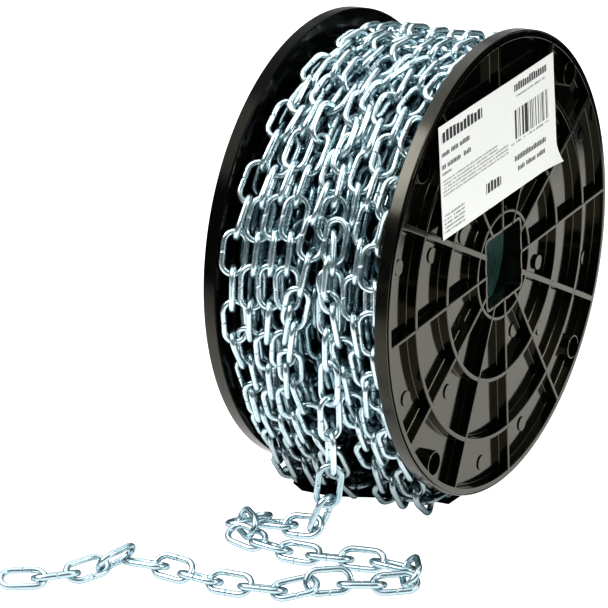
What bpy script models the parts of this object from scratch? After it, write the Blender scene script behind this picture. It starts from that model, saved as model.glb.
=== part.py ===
"""Reel of zinc plated steel chain: two ribbed plastic flanges on a core tube, the wound chain, and its
loose end hanging off the front and lying on the floor in a Z. Metres, +Z up. The reel's axis lies along X,
and the loose end runs towards -Y."""

import math

import bmesh
import bpy
import numpy as np
from mathutils import Matrix, Quaternion, Vector

# Where the reel stands: the origin is at the bottom centre of the whole object's box.
REEL_X = 0.0043
REEL_Y = 0.0519
REEL_TURN = math.radians(5.5)

# Flanges, moulded in plastic, ribbed on the outside and smooth on the inside.
FLANGE_RADIUS = 0.1016
REEL_WIDTH = 0.0889
FLANGE_DEPTH = 0.0063
WEB_THICKNESS = 0.0018
RIM_THICKNESS = 0.0034
RING_THICKNESS = 0.0020
HUB_RADIUS = 0.0245
RING_RADII = (0.0508, 0.0772)
RIB_COUNT = 12
RIB_THICKNESS = 0.0016
WIDE_RIB_THICKNESS = 0.0026
WIDE_RIBS = (2, 8)
BORE_SIDE = 0.03125
BORE_WALL = 0.0012
COLLAR_CIRCLE = 0.0934
COLLAR_RADIUS = 0.0065
COLLAR_HOLE_RADIUS = 0.0050
COLLAR_COUNT = 4
FLANGE_SEGMENTS = 48

# Core tube between the flanges.
CORE_RADIUS = 0.032
CORE_WALL = 0.002
CLEARANCE = 0.0003

# Paper label stuck on the rib tops of the right flange.
LABEL_WIDTH = 0.1030
LABEL_HEIGHT = 0.0512
LABEL_THICKNESS = 0.00025
LABEL_CENTRE = (-0.0030, 0.0560)

# Chain: links bent from round wire, with a butt joint.
WIRE = 0.0027
LINK_INSIDE_LENGTH = 0.0154
LINK_INSIDE_WIDTH = 0.0067
LINK_ARC_STEPS = 5

# Wound chain: a plain core of hidden turns, and the outer layer with the eyes of its open links cut in.
# The turn that was paid out has left a trench at the front, from LEAVES_AT down.
STRAND_COUNT = 9
LAYER_RADIUS = 0.0920
LAYER_THICKNESS = 0.0125
EYES_PER_TURN = 19
EYE_LENGTH = 0.0118
EYE_WIDTH = 0.0056
EYE_DEPTH = 0.0108
TRENCH_WIDTH = 0.0084
TRENCH_DEPTH = 0.0075
TRENCH_ANGLE = math.radians(87)
TRENCH_STEPS = 9

# Loose end: it leaves the pack at STRAND_X, each link LEANS by its own degrees, and ROUTE runs through the
# links' hooks, in mm from the floor under the reel. SLACK_LINKS are the ends of the links that lie bunched
# off it where the chain doubles back.
TAUT_PITCH = 0.0151
LANDING_PITCH = 0.0124
LAID_PITCH = 0.0136
TAUT_LINKS = 8
STRAND_X = 0.01254
STRAND_RADIUS = LAYER_RADIUS + 2 * CLEARANCE + WIRE / 2
LEAVES_AT = math.radians(22.6)
HANGS_FROM = 0.006
HANG_FADE = 0.02
HELD_LINKS = 6
EASE_ROUNDS = 260
EASE_GAP = 0.0003
EASE_PULL = 0.02
EASE_PULL_FADE = 1.6
EASE_REACH = 0.022
GYRATION = 0.006
ROUTE = (
    (12.7, -93.9, 88), (13.2, -94.2, 62), (13.9, -94.5, 45), (14.3, -94.6, 31), (12.0, -95.0, 17),
    (7.2, -95.5, 6), (-3.0, -95.9, 3), (-14.2, -95.8, 3), (-22.5, -97.3, 3), (-29.5, -104.0, 3),
    (-27.5, -112.5, 3), (-18.0, -116.0, 3), (-6.6, -117.0, 3), (11.0, -118.5, 3), (24.3, -115.0, 3),
    (39.2, -110.4, 3), (53.5, -107.3, 3), (63.0, -108.2, 3), (67.5, -115.0, 3), (62.5, -123.3, 3),
    (49.4, -131.5, 3), (38.3, -140.5, 3), (29.2, -150.5, 3), (15.1, -156.5, 3), (3.2, -159.4, 3),
    (-13.0, -159.6, 3), (-26.0, -159.2, 3), (-40.0, -158.2, 3), (-48.5, -165.0, 3), (-51.0, -176.0, 3),
    (-59.6, -188.5, 3), (-70.0, -197.5, 3), (-79.0, -203.0, 3),
)
SLACK_LINKS = {
    12: ((-17.5, -96.5, 4), (-27.0, -105.5, 4)),
    13: ((-24.0, -105.0, 7), (-12.0, -114.0, 7)),
    14: ((-20.8, -115.0, 4), (-7.2, -117.0, 4)),
    30: ((-43.9, -159.0, 4), (-48.1, -171.8, 3)),
}
LEANS = (
    0, 90, 0, 100, 167, 66, 134, 31, 121, 43, -18, -18, 60, 24, -18, 26, -18, 33, -15, 50, 24,
    -18, 58, 18, -18, 33, -18, 42, -18, 118, 27, -18, 20,
)

UP = Vector((0, 0, 1))
FRONT = Vector((0, -1, 0))
BACK = Vector((-0.52, 0.85, 0))
AXLE = Vector((REEL_X, REEL_Y, FLANGE_RADIUS))


def clear_scene():
    for obj in list(bpy.data.objects):
        bpy.data.objects.remove(obj, do_unlink=True)


def new_collection(name):
    collection = bpy.data.collections.new(name)
    bpy.context.scene.collection.children.link(collection)
    return collection


def plain_material(name, colour, roughness, metallic=0.0):
    material = bpy.data.materials.new(name)
    material.use_nodes = True
    shader = material.node_tree.nodes["Principled BSDF"]
    shader.inputs["Base Color"].default_value = (*colour, 1)
    shader.inputs["Roughness"].default_value = roughness
    shader.inputs["Metallic"].default_value = metallic
    return material


def add_object(name, data, collection, material=None, matrix=None):
    obj = bpy.data.objects.new(name, data)
    collection.objects.link(obj)
    if material and not data.materials:
        data.materials.append(material)
    if matrix:
        obj.matrix_world = matrix
    return obj


def reel_matrix(along_x, turn=REEL_TURN, flip=False):
    """Local Z becomes the reel's axis, outwards from the flange, and local X is down, or up if flipped."""
    facing = Matrix.Rotation(math.radians(-90 if flip else 90), 4, "Y")
    place = Matrix.Translation(AXLE + Vector((along_x, 0, 0)))
    return place @ Matrix.Rotation(turn, 4, "X") @ facing


def mesh_from(bm, name):
    mesh = bpy.data.meshes.new(name)
    bmesh.ops.recalc_face_normals(bm, faces=bm.faces)
    bm.to_mesh(mesh)
    bm.free()
    return mesh


def turned(name, profile, segments, collection, material, matrix):
    """A closed profile of (radius, height) pairs, outer side running down, turned about local Z."""
    mesh = bpy.data.meshes.new(name)
    edges = [(i, (i + 1) % len(profile)) for i in range(len(profile))]
    mesh.from_pydata([(radius, 0, height) for radius, height in profile], edges, [])
    obj = add_object(name, mesh, collection, material, matrix)
    screw = obj.modifiers.new("turn", "SCREW")
    screw.steps = screw.render_steps = segments
    screw.use_merge_vertices = True
    screw.merge_threshold = 0.00001
    screw.use_smooth_shade = False
    return obj


def boolean(obj, other, operation):
    modifier = obj.modifiers.new(other.name, "BOOLEAN")
    modifier.operation = operation
    modifier.object = other


def add_box(bm, size, matrix):
    bmesh.ops.create_cube(bm, size=1, matrix=matrix @ Matrix.Diagonal((*size, 1)))


def helper(name, bm, collection, matrix):
    obj = add_object(name, mesh_from(bm, name), collection, None, matrix)
    obj.hide_render = True
    obj.display_type = "WIRE"
    return obj


def flange_profile():
    """Heights run from 0 at the inner face to FLANGE_DEPTH at the rib tops."""
    top, web = FLANGE_DEPTH, WEB_THICKNESS
    chamfer = 0.0005
    points = [(FLANGE_RADIUS, top - chamfer), (FLANGE_RADIUS, chamfer), (FLANGE_RADIUS - chamfer, 0)]
    inner = BORE_SIDE / 2 - 0.003
    points += [(inner, 0), (inner, web)]
    rings = [(HUB_RADIUS, RING_THICKNESS * 0.8)] + [(radius, RING_THICKNESS) for radius in RING_RADII]
    for radius, thickness in rings:
        low, high = radius - thickness / 2, radius + thickness / 2
        points += [(low, web), (low, top), (high, top), (high, web)]
    rim = FLANGE_RADIUS - RIM_THICKNESS
    points += [(rim, web), (rim, top), (FLANGE_RADIUS - chamfer, top)]
    return points


def flange_ribs(collection, matrix, name):
    """Twelve radial ribs from the bore's wall to the rim; two opposite ones are wider."""
    bm = bmesh.new()
    start, end = BORE_SIDE / 2 - 0.001, FLANGE_RADIUS - RIM_THICKNESS / 2
    height = FLANGE_DEPTH - WEB_THICKNESS / 2
    for i in range(RIB_COUNT):
        width = WIDE_RIB_THICKNESS if i in WIDE_RIBS else RIB_THICKNESS
        middle = Matrix.Translation(((start + end) / 2, 0, FLANGE_DEPTH - height / 2))
        turn = Matrix.Rotation(math.tau * i / RIB_COUNT, 4, "Z")
        add_box(bm, (end - start, width, height), turn @ middle)
    return helper(name + "_ribs", bm, collection, matrix)


def flange_block(name, side, low, high, collection, matrix):
    bm = bmesh.new()
    add_box(bm, (side, side, high - low), Matrix.Translation((0, 0, (low + high) / 2)))
    return helper(name, bm, collection, matrix)


def flange_collars(name, radius, low, high, collection, matrix):
    """Round collars near the rim, each midway between two ribs."""
    bm = bmesh.new()
    for i in range(COLLAR_COUNT):
        turn = Matrix.Rotation(math.tau * (i + 0.5) / COLLAR_COUNT, 4, "Z")
        place = turn @ Matrix.Translation((COLLAR_CIRCLE, 0, (low + high) / 2))
        bmesh.ops.create_cone(bm, cap_ends=True, segments=12, radius1=radius, radius2=radius,
                              depth=high - low, matrix=place)
    return helper(name, bm, collection, matrix)


def make_flange(name, side, parts, cutters, material):
    matrix = reel_matrix(side * (REEL_WIDTH / 2 - FLANGE_DEPTH), flip=side < 0)
    flange = turned(name, flange_profile(), FLANGE_SEGMENTS, parts, material, matrix)
    outer = BORE_SIDE + 2 * BORE_WALL
    web, top = WEB_THICKNESS, FLANGE_DEPTH
    boolean(flange, flange_ribs(cutters, matrix, name), "UNION")
    boolean(flange, flange_block(name + "_wall", outer, web / 2, top, cutters, matrix), "UNION")
    collars = flange_collars(name + "_collars", COLLAR_RADIUS, web / 2, top - 0.0004, cutters, matrix)
    boolean(flange, collars, "UNION")
    holes = flange_collars(name + "_holes", COLLAR_HOLE_RADIUS, web, top + 0.001, cutters, matrix)
    boolean(flange, holes, "DIFFERENCE")
    bore = flange_block(name + "_bore", BORE_SIDE, -0.001, top + 0.001, cutters, matrix)
    boolean(flange, bore, "DIFFERENCE")
    return flange


def tube_profile(inner, outer, half_width):
    return [(outer, half_width), (outer, -half_width), (inner, -half_width), (inner, half_width)]


def make_label(parts, material):
    bm = bmesh.new()
    add_box(bm, (LABEL_HEIGHT, LABEL_WIDTH, LABEL_THICKNESS), Matrix.Identity(4))
    out = REEL_WIDTH / 2 + CLEARANCE + LABEL_THICKNESS / 2
    across, up = LABEL_CENTRE
    facing = Matrix.Rotation(math.radians(90), 4, "Y")
    place = Matrix.Translation(AXLE + Vector((out, 0, 0))) @ Matrix.Rotation(REEL_TURN, 4, "X")
    return add_object("label", mesh_from(bm, "label"), parts, material,
                      place @ Matrix.Translation((0, across, up)) @ facing)


def layer_eyes(half_width, collection, matrix):
    """The eyes of every other link, staggered from strand to strand."""
    bm = bmesh.new()
    pitch = 2 * half_width / STRAND_COUNT
    for strand in range(STRAND_COUNT):
        x = half_width - (strand + 0.5) * pitch
        for i in range(EYES_PER_TURN):
            turn = Matrix.Rotation(math.tau * (i + 0.25 + 0.5 * (strand % 2)) / EYES_PER_TURN, 4, "Z")
            place = turn @ Matrix.Translation((LAYER_RADIUS, 0, x))
            add_box(bm, (2 * EYE_DEPTH, EYE_LENGTH, EYE_WIDTH), place)
    return helper("layer_eyes", bm, collection, matrix)


def layer_trench(collection, matrix):
    """The empty place of the turn that was paid out, from LEAVES_AT down the front and under the reel."""
    bm = bmesh.new()
    low, high = LAYER_RADIUS - TRENCH_DEPTH, LAYER_RADIUS + TRENCH_DEPTH
    left, right = STRAND_X - TRENCH_WIDTH / 2, STRAND_X + TRENCH_WIDTH / 2
    start = Matrix.Rotation(-math.pi / 2 - REEL_TURN - LEAVES_AT, 4, "Z")
    corners = ((low, left), (high, left), (high, right), (low, right))
    section = bm.faces.new([bm.verts.new(start @ Vector((radius, 0, x))) for radius, x in corners])
    bmesh.ops.spin(bm, geom=[section, *section.edges, *section.verts], axis=(0, 0, 1), cent=(0, 0, 0),
                   angle=TRENCH_ANGLE, steps=TRENCH_STEPS)
    return helper("layer_trench", bm, collection, matrix)


def make_wound_chain(parts, cutters, material):
    half_width = REEL_WIDTH / 2 - FLANGE_DEPTH - 2 * CLEARANCE
    matrix = reel_matrix(0)
    core_outer = LAYER_RADIUS - LAYER_THICKNESS - CLEARANCE
    core = tube_profile(CORE_RADIUS + CLEARANCE, core_outer, half_width)
    turned("wound_chain_core", core, 2 * EYES_PER_TURN, parts, material, matrix)
    profile = tube_profile(LAYER_RADIUS - LAYER_THICKNESS, LAYER_RADIUS, half_width)
    layer = turned("wound_chain_layer", profile, 2 * EYES_PER_TURN, parts, material, matrix)
    boolean(layer, layer_eyes(half_width, cutters, matrix), "DIFFERENCE")
    boolean(layer, layer_trench(cutters, matrix), "DIFFERENCE")


def link_outline(arc_steps):
    """The centre line of one link's wire, lying flat: two straights and two half circles, long way on X."""
    half_straight = (LINK_INSIDE_LENGTH - LINK_INSIDE_WIDTH) / 2
    bend = (LINK_INSIDE_WIDTH + WIRE) / 2
    points = []
    for end in (1, -1):
        for step in range(arc_steps + 1):
            angle = math.pi * (step / arc_steps - 0.5) + (0 if end > 0 else math.pi)
            points.append((end * half_straight + bend * math.cos(angle), bend * math.sin(angle), 0))
    return points


def link_curve():
    curve = bpy.data.curves.new("chain_link", "CURVE")
    curve.dimensions = "3D"
    curve.bevel_depth = WIRE / 2
    curve.bevel_resolution = 1
    points = link_outline(LINK_ARC_STEPS)
    spline = curve.splines.new("POLY")
    spline.points.add(len(points) - 1)
    for point, place in zip(spline.points, points):
        point.co = (*place, 1)
    spline.use_cyclic_u = True
    return curve


def smooth_route(points, steps=24):
    """Catmull-Rom curve through the points."""
    padded = [2 * points[0] - points[1], *points, 2 * points[-1] - points[-2]]
    curve = []
    for a, b, c, d in zip(padded, padded[1:], padded[2:], padded[3:]):
        for step in range(steps):
            t = step / steps
            curve.append(0.5 * (2 * b + (c - a) * t + (2 * a - 5 * b + 4 * c - d) * t**2
                                + (3 * b - a - 3 * c + d) * t**3))
    return curve + [points[-1]]


def link_pitch(number):
    """How far apart a link's two hooks are: the hanging links are taut and the laid ones slack."""
    if number <= TAUT_LINKS:
        return TAUT_PITCH
    return LANDING_PITCH if number == TAUT_LINKS + 1 else LAID_PITCH


def walk(curve):
    """Points along the curve, each a link's pitch from the last in a straight line."""
    joints = [curve[0]]
    for a, b in zip(curve, curve[1:]):
        while (b - joints[-1]).length >= link_pitch(len(joints)):
            low, high = 0.0, 1.0
            for _ in range(30):
                middle = (low + high) / 2
                near = (a.lerp(b, middle) - joints[-1]).length < link_pitch(len(joints))
                low, high = (middle, high) if near else (low, middle)
            joints.append(a.lerp(b, high))
    return joints


def loose_joints():
    """Where each loose link hooks into the next, from the pack to the free end."""
    points = []
    for angle in (LEAVES_AT, LEAVES_AT * 2 / 3, LEAVES_AT / 3, 0):
        out, up = math.cos(angle), math.sin(angle)
        points.append(Vector((STRAND_X, -STRAND_RADIUS * out, FLANGE_RADIUS + STRAND_RADIUS * up)))
    points += [Vector(point) / 1000 for point in ROUTE]
    return walk(smooth_route(points))


def rest_height(lean):
    """Height of a link's centre when its lower side lies on the floor."""
    return WIRE / 2 + (LINK_INSIDE_WIDTH + WIRE) / 2 * abs(math.sin(lean))


def link_pose(start, end, lean):
    """Centre and turn of a link: long way from start to end, its width leaning from level to upright."""
    along = (end - start).normalized()
    middle = (start + end) / 2
    hang = max(0.0, min(1.0, (middle.z - HANGS_FROM) / HANG_FADE))
    away = (FRONT * hang + UP * (1 - hang)).normalized()
    away = (away - along * away.dot(along)).normalized()
    side = along.cross(away)
    if side.dot(BACK) < 0:
        side.negate()
    width = side * math.cos(lean) + away * math.sin(lean)
    middle.z = max(middle.z, rest_height(lean))
    return middle, Matrix((along, width, along.cross(width))).transposed()


def push(middle, turn, arm, direction, distance):
    """Moves a link so that the point at arm goes along direction, shared between sliding and turning."""
    middle += direction * distance
    angle = arm.cross(direction) * distance / GYRATION**2
    if angle.length > 0:
        turn.rotate(Quaternion(angle.normalized(), angle.length))


def looseness(arm, direction):
    return 1 + (arm.cross(direction).length / GYRATION) ** 2


def wire_line(pose, outline):
    return np.array(pose[0]) + outline @ np.array(pose[1]).T


def part_pair(poses, i, j, outline):
    """Pushes two links apart where their wires come closer than the gap."""
    first, second = wire_line(poses[i], outline), wire_line(poses[j], outline)
    spread = np.linalg.norm(first[:, None] - second[None], axis=2)
    a, b = np.unravel_index(spread.argmin(), spread.shape)
    lack = WIRE + EASE_GAP - spread[a, b]
    if lack <= 0:
        return
    direction = Vector(second[b] - first[a]).normalized()
    arms = Vector(first[a]) - poses[i][0], Vector(second[b]) - poses[j][0]
    ease = [looseness(arm, direction) if k >= HELD_LINKS else 0 for arm, k in zip(arms, (i, j))]
    share = lack / sum(ease) if sum(ease) else 0
    for pose, arm, free, sign in zip((poses[i], poses[j]), arms, ease, (-1, 1)):
        if free:
            push(*pose, arm, direction, sign * share)


def lift_off_floor(pose, outline):
    line = wire_line(pose, outline)
    lowest = line[:, 2].argmin()
    lack = WIRE / 2 - line[lowest, 2]
    if lack > 0:
        arm = Vector(line[lowest]) - pose[0]
        push(*pose, arm, UP, lack / looseness(arm, UP))


def ease_apart(poses):
    """Slides and turns the laid links a little until no two wires touch and none is below the floor."""
    outline = np.array(link_outline(LINK_ARC_STEPS + 1))
    laid = [middle.copy() for middle, _ in poses]
    for turn_no in range(EASE_ROUNDS):
        pull = EASE_PULL * max(0, 1 - EASE_PULL_FADE * turn_no / EASE_ROUNDS)
        for i in range(HELD_LINKS, len(poses)):
            poses[i][0].xyz += (laid[i] - poses[i][0]) * pull
        for i in range(len(poses) - 1):
            for j in range(i + 1, min(i + 4, len(poses))):
                if (poses[i][0] - poses[j][0]).length < EASE_REACH:
                    part_pair(poses, i, j, outline)
        for pose in poses[HELD_LINKS:]:
            lift_off_floor(pose, outline)


def make_loose_end(parts, material):
    joints = loose_joints()
    ends = list(zip(joints, joints[1:]))
    for number, pair in SLACK_LINKS.items():
        ends[number - 1] = [Vector(point) / 1000 for point in pair]
    poses = [link_pose(*pair, math.radians(lean)) for pair, lean in zip(ends, LEANS)]
    ease_apart(poses)
    curve = link_curve()
    reel_foot = Vector((REEL_X, REEL_Y, 0))
    for i, (middle, turn) in enumerate(poses):
        place = Matrix.Translation(middle + reel_foot) @ turn.to_4x4()
        add_object(f"link_{i + 1:02d}", curve, parts, material, place)


def main():
    clear_scene()
    parts = new_collection("chain_reel")
    cutters = new_collection("cutters")
    plastic = plain_material("black_plastic", (0.012, 0.012, 0.012), 0.35)
    zinc = plain_material("zinc_plated_steel", (0.62, 0.66, 0.68), 0.25, 1.0)
    paper = plain_material("label_paper", (0.86, 0.86, 0.85), 0.6)
    make_flange("flange_right", 1, parts, cutters, plastic)
    make_flange("flange_left", -1, parts, cutters, plastic)
    core_half = REEL_WIDTH / 2 - FLANGE_DEPTH - CLEARANCE
    tube = tube_profile(CORE_RADIUS - CORE_WALL, CORE_RADIUS, core_half)
    turned("core_tube", tube, FLANGE_SEGMENTS, parts, plastic, reel_matrix(0))
    make_label(parts, paper)
    make_wound_chain(parts, cutters, zinc)
    make_loose_end(parts, zinc)


main()
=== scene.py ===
"""Reel of zinc plated steel chain: a black ribbed plastic spool wound with chain, a paper label on its near
flange, and the chain's free end hanging down the front and lying on the floor in a Z.

Blender 4.5. Metres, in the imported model's frame: +X along the reel's axis towards the flange with the
label, -Y towards the free end, +Z up.
"""

import math

import bmesh
import bpy
import numpy as np
from mathutils import Matrix, Vector


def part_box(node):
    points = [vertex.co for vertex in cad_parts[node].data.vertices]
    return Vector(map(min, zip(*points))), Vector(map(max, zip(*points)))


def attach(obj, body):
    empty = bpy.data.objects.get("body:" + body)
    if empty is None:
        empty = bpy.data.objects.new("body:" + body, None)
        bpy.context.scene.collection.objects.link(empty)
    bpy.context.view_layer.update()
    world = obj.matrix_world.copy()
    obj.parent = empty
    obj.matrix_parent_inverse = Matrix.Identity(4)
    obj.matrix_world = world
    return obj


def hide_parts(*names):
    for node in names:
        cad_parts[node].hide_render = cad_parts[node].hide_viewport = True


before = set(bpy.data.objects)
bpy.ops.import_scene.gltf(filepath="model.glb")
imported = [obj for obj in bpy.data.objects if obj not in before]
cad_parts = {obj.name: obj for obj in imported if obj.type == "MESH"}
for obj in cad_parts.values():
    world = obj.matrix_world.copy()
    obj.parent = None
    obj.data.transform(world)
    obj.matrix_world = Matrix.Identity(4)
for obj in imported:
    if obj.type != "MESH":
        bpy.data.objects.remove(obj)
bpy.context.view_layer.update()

# Flanges. Each is one moulding in glossy black plastic: a thin web with twelve ribs and three rings on its
# outside, a rim, a square bore with a thin wall, four blind collars and the round marks of ejector pins.
# The far one is the same moulding turned round. They are pressed onto the ends of the core tube.

near_low, near_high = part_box("flange_right")
far_low, far_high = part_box("flange_left")
FLANGE_RADIUS = (near_high.z - near_low.z) / 2
FLANGE_DEPTH = near_high.x - near_low.x
AXLE = Vector(((near_high.x + far_low.x) / 2, (near_low.y + near_high.y) / 2, near_low.z + FLANGE_RADIUS))
REEL_TURN = math.radians(5.5)
# Sizes. LOWER is how far a top lies under the rim's, and WAVE how uneven a side is.
WEB = 0.0018
WEB_HOLE = 0.012
RIM_WIDTH = 0.0034
# The rim's stepped outer edge as (distance in from the outside, distance down from the top).
RIM_STEPS = ((0.0012, 0.0), (0.0011, 0.0001), (0.00102, 0.0009), (0.0007, 0.0009))
RIM_ROUND = 0.0004
BACK_ROUND = 0.0006
# Rings as (radius, width, height of the top above the rim's).
RINGS = ((0.0237, 0.0016, -0.00018), (0.0508, 0.0020, -0.00012), (0.0772, 0.0020, -0.00012))
RIB_COUNT = 12
RIB_WIDTH = 0.0016
RIB_LOWER = 0.00004
WIDE_RIB_WIDTH = 0.0026
WIDE_RIBS = (5, 11)
BORE_SIDE = 0.03125
BORE_CORNER = 0.0022
BORE_WAVE = 0.0002
BORE_WALL = 0.0012
WALL_LOWER = 0.0002
WALL_CORNER = 0.003
WALL_WAVE = 0.0003
COLLAR_CIRCLE = 0.0934
COLLAR_RADIUS = 0.0056
COLLAR_HOLE = 0.0049
COLLAR_LOWER = 0.0005
COLLAR_ROUND = 0.0003
NOTCH_WIDTH = 0.00026
NOTCH_DEPTH = 0.0003
PIN_RADIUS = 0.00335
PIN_HEIGHT = 0.00055
PIN_ROUND = 0.0001
TALL_PIN_HEIGHT = 0.0013
# Ejector marks as (distance from the axle in mm, degrees from the back upwards). One stands taller.
PIN_PLACES = (
    (88.0, 166.0), (60.6, 161.8), (36.7, 146.3), (36.2, -150.5), (86.5, -154.3), (61.9, -132.0),
    (89.9, -95.9), (88.8, -70.8), (40.4, -62.7), (62.0, -43.9), (40.8, -14.5), (91.0, -13.6), (90.9, 25.3),
)
TALL_PIN = 10
# Steps round a flange and along a side of the bore, how far one body runs into or past another where they are
# joined or cut, and the angle from which an edge is shaded as sharp.
FLANGE_STEPS = 240
SIDE_STEPS = 8
OVERLAP = 0.001
SHARP_ANGLE = math.radians(38)


def arc_points(across, height, radius, start, end, steps):
    """Points on an arc in a section, as (across, height), from the start to the end angle in degrees."""
    points = []
    for i in range(steps + 1):
        angle = math.radians(start + (end - start) * i / steps)
        points.append((across + radius * math.cos(angle), height + radius * math.sin(angle)))
    return points


def wall_points(across, width, base, top, fillet=0.0005, edge=0.00032, draft=0.00012):
    """A wall's section: up one side and down the other, with fillets at its foot and rounded edges."""
    half = width / 2
    foot = half + draft
    left = arc_points(across - foot - fillet, base + fillet, fillet, 270, 360, 3)
    left += arc_points(across - half + edge, top - edge, edge, 180, 90, 3)
    return left + [(2 * across - a, h) for a, h in reversed(left)]


def flange_section():
    """The turned body's closed section, as (radius, height), with height 0 at the inner face."""
    top = FLANGE_DEPTH
    section = [(WEB_HOLE, 0.0), (WEB_HOLE, WEB)]
    for radius, width, rise in RINGS:
        section += wall_points(radius, width, WEB, top + rise)
    rim = wall_points(FLANGE_RADIUS - RIM_WIDTH / 2, RIM_WIDTH, WEB, top)
    section += rim[: len(rim) // 2]
    section += [(FLANGE_RADIUS - inwards, top - down) for inwards, down in RIM_STEPS]
    section += arc_points(FLANGE_RADIUS - RIM_ROUND, top - 2 * RIM_ROUND, RIM_ROUND, 120, 0, 5)
    section += arc_points(FLANGE_RADIUS - BACK_ROUND, BACK_ROUND, BACK_ROUND, 0, -90, 4)
    return section


def lathe(section, segments):
    """A closed section of (radius, height) turned about local Z, as (points, faces)."""
    count = len(section)
    angles = np.arange(segments) * math.tau / segments
    radius, height = np.array(section).T
    points = np.stack([np.outer(np.cos(angles), radius), np.outer(np.sin(angles), radius),
                       np.tile(height, (segments, 1))], axis=2).reshape(-1, 3)
    ring, step = np.meshgrid(np.arange(segments), np.arange(count), indexing="ij")
    ring_next, step_next = (ring + 1) % segments, (step + 1) % count
    faces = np.stack([ring * count + step, ring * count + step_next,
                      ring_next * count + step_next, ring_next * count + step], axis=2)
    return points, faces.reshape(-1, 4)


def new_object(name, points, faces):
    mesh = bpy.data.meshes.new(name)
    mesh.from_pydata(np.asarray(points).tolist(), [], np.asarray(faces).tolist())
    mesh.validate()
    obj = bpy.data.objects.new(name, mesh)
    bpy.context.scene.collection.objects.link(obj)
    return obj


def face_out(obj):
    """Turns the faces of a closed mesh outwards."""
    bm = bmesh.new()
    bm.from_mesh(obj.data)
    bmesh.ops.recalc_face_normals(bm, faces=bm.faces)
    bm.to_mesh(obj.data)
    bm.free()
    return obj


def bar(section, start, end, turn):
    """A bar along local X with the section on local Y and Z, turned, as (points, side faces, end faces)."""
    points = []
    for along in (start, end):
        points += [turn @ Vector((along, across, height)) for across, height in section]
    count = len(section)
    faces = [[i, (i + 1) % count, count + (i + 1) % count, count + i] for i in range(count)]
    return points, faces, [list(range(count)), list(range(2 * count - 1, count - 1, -1))]


def rib_bars():
    """Twelve radial bars with rounded tops, two opposite ones wider, each a closed body."""
    bm = bmesh.new()
    start, end = BORE_SIDE / 2 - OVERLAP, FLANGE_RADIUS - RIM_WIDTH / 2
    for i in range(RIB_COUNT):
        width = WIDE_RIB_WIDTH if i in WIDE_RIBS else RIB_WIDTH
        section = wall_points(0, width, WEB, FLANGE_DEPTH - RIB_LOWER)
        section = [(section[0][0], WEB / 2)] + section + [(section[-1][0], WEB / 2)]
        turn = Matrix.Rotation(REEL_TURN + math.tau * i / RIB_COUNT, 3, "Z")
        points, sides, caps = bar(section, start, end, turn)
        verts = [bm.verts.new(point) for point in points]
        for face in sides + caps:
            bm.faces.new([verts[k] for k in face])
    return bmesh_object("ribs", bm)


def bmesh_object(name, bm):
    """An object of a closed bmesh, its faces turned outwards."""
    bmesh.ops.recalc_face_normals(bm, faces=bm.faces)
    mesh = bpy.data.meshes.new(name)
    bm.to_mesh(mesh)
    bm.free()
    obj = bpy.data.objects.new(name, mesh)
    bpy.context.scene.collection.objects.link(obj)
    return obj


def square_block(name, side, corner, low, high, wave):
    """A square block on the axle, turned with the reel, with rounded corners and sides uneven by wave."""
    half = side / 2 - corner
    corners = ((half, half), (-half, half), (-half, -half), (half, -half))
    outline = []
    for k, (x, y) in enumerate(corners):
        outline += arc_points(x, y, corner, 90 * k, 90 * k + 90, 5)
        start, end = Vector(outline[-1]), Vector(corners[(k + 1) % 4])
        outwards = start - Vector((x, y))
        end += outwards
        for i in range(1, SIDE_STEPS):
            swell = wave * math.sin(i * 2.1 + k * 1.7) * math.sin(math.pi * i / SIDE_STEPS)
            outline.append(tuple(start.lerp(end, i / SIDE_STEPS) + outwards.normalized() * swell))
    turn = Matrix.Rotation(REEL_TURN, 3, "Z")
    bm = bmesh.new()
    floor = [bm.verts.new(turn @ Vector((x, y, low))) for x, y in outline]
    ceiling = [bm.verts.new(turn @ Vector((x, y, high))) for x, y in outline]
    bm.faces.new(floor)
    bm.faces.new(ceiling)
    for i in range(len(outline)):
        k = (i + 1) % len(outline)
        bm.faces.new((floor[i], floor[k], ceiling[k], ceiling[i]))
    return bmesh_object(name, bm)


def plug(bm, place, section, segments):
    """Adds a turned plug about local Z, its side's section running from the bottom to the top."""
    rings = []
    for radius, height in section:
        ring = []
        for i in range(segments):
            angle = math.tau * i / segments
            point = Vector((radius * math.cos(angle), radius * math.sin(angle), height))
            ring.append(bm.verts.new(place @ point))
        rings.append(ring)
    bm.faces.new(rings[0])
    bm.faces.new(rings[-1])
    for low, high in zip(rings, rings[1:]):
        for i in range(segments):
            k = (i + 1) % segments
            bm.faces.new((low[i], low[k], high[k], high[i]))


def collar_places():
    """Where the four collars stand: in line with the bore's corners, halfway between two ribs."""
    out = Matrix.Translation((COLLAR_CIRCLE, 0, 0))
    return [Matrix.Rotation(REEL_TURN + math.radians(45 + 90 * i), 4, "Z") @ out for i in range(4)]


def collars_and_pins():
    bm = bmesh.new()
    top = FLANGE_DEPTH - COLLAR_LOWER
    for place in collar_places():
        section = [(COLLAR_RADIUS + 0.0001, WEB / 2)]
        section += arc_points(COLLAR_RADIUS - COLLAR_ROUND, top - COLLAR_ROUND, COLLAR_ROUND, 0, 90, 3)
        plug(bm, place, section, 48)
    for i, (radius, angle) in enumerate(PIN_PLACES):
        height = WEB + (TALL_PIN_HEIGHT if i == TALL_PIN else PIN_HEIGHT)
        section = [(PIN_RADIUS, WEB / 2)]
        section += arc_points(PIN_RADIUS - PIN_ROUND, height - PIN_ROUND, PIN_ROUND, 0, 90, 2)
        turn = Matrix.Rotation(math.radians(angle), 4, "Z")
        plug(bm, turn @ Matrix.Translation((radius / 1000, 0, 0)), section, 36)
    return bmesh_object("collars_and_pins", bm)


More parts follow.
